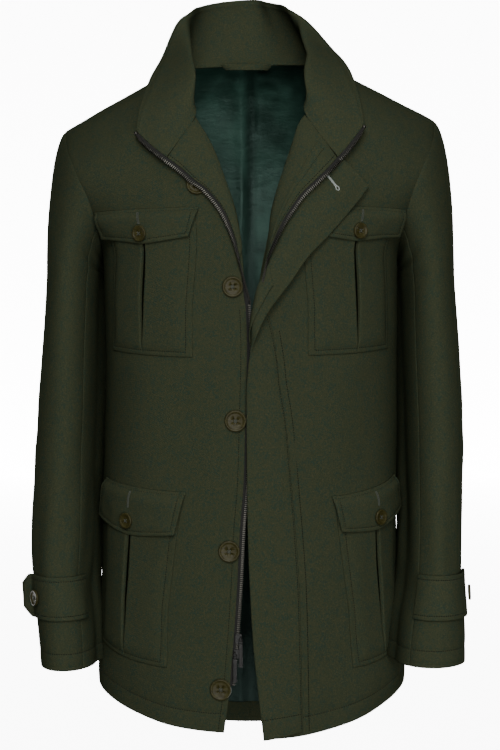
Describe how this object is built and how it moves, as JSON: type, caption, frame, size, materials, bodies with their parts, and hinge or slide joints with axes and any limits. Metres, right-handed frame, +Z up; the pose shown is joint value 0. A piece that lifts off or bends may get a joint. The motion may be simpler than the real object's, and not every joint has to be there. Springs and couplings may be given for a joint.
{
  "type": "field jacket",
  "caption": "Hip-length wool field jacket worn open, with stand collar, two-way zip, buttoned placket, patch pockets with flaps, and cuff tabs.",
  "frame": {"origin": "base of the neck, midway between the shoulders, where the wearer holds the jacket", "axes": "+X the wearer's left, -Y the front, +Z up"},
  "size_m": [0.5033, 0.2793, 0.8872],
  "materials": {
    "wool_cloth": "brushed wool, olive heather",
    "satin_lining": "dark green satin",
    "horn_button": "dark olive horn",
    "zip_tape": "black woven tape",
    "zip_metal": "dark gunmetal"
  },
  "bodies": {
    "jacket": {"front_left": "wool_cloth", "front_right": "wool_cloth", "back_left": "wool_cloth", "back_right": "wool_cloth", "sleeve_top_left": "wool_cloth", "sleeve_top_right": "wool_cloth", "sleeve_under_left": "wool_cloth", "sleeve_under_right": "wool_cloth", "facing_left": "wool_cloth", "facing_right": "wool_cloth", "tab_left": "wool_cloth", "tab_right": "wool_cloth", "collar": "wool_cloth", "hanger_loop": "wool_cloth", "zip_guard": "wool_cloth", "placket": "wool_cloth", "fly_strip": "wool_cloth", "pocket_chest_left": "wool_cloth", "pocket_chest_right": "wool_cloth", "pocket_lower_left": "wool_cloth", "pocket_lower_right": "wool_cloth", "flap_chest_left": "wool_cloth", "flap_chest_right": "wool_cloth", "flap_lower_left": "wool_cloth", "flap_lower_right": "wool_cloth", "lining_back": "satin_lining", "button_front_1": "horn_button", "button_front_2": "horn_button", "button_front_3": "horn_button", "button_front_4": "horn_button", "button_front_5": "horn_button", "button_chest_left": "horn_button", "button_chest_right": "horn_button", "button_lower_left": "horn_button", "button_lower_right": "horn_button", "button_tab_left": "horn_button", "button_tab_right": "horn_button", "zip_tape_left": "zip_tape", "zip_tape_left_low": "zip_tape", "zip_tape_right": "zip_tape", "slider_upper": "zip_metal", "slider_lower": "zip_metal"},
    "pull_upper": {"pull_upper": "zip_metal"},
    "pull_lower": {"pull_lower": "zip_metal"}
  },
  "joints": [
    {"name": "pull_upper_hinge", "type": "hinge", "parent": "jacket", "child": "pull_upper", "pos_m": [-0.0103, -0.13198, -0.6546], "axis": [-1, 0, 0], "range_deg": [0, 140]},
    {"name": "pull_lower_hinge", "type": "hinge", "parent": "jacket", "child": "pull_lower", "pos_m": [-0.0168, -0.13195, -0.6716], "axis": [-1, 0, 0], "range_deg": [0, 140]}
  ]
}
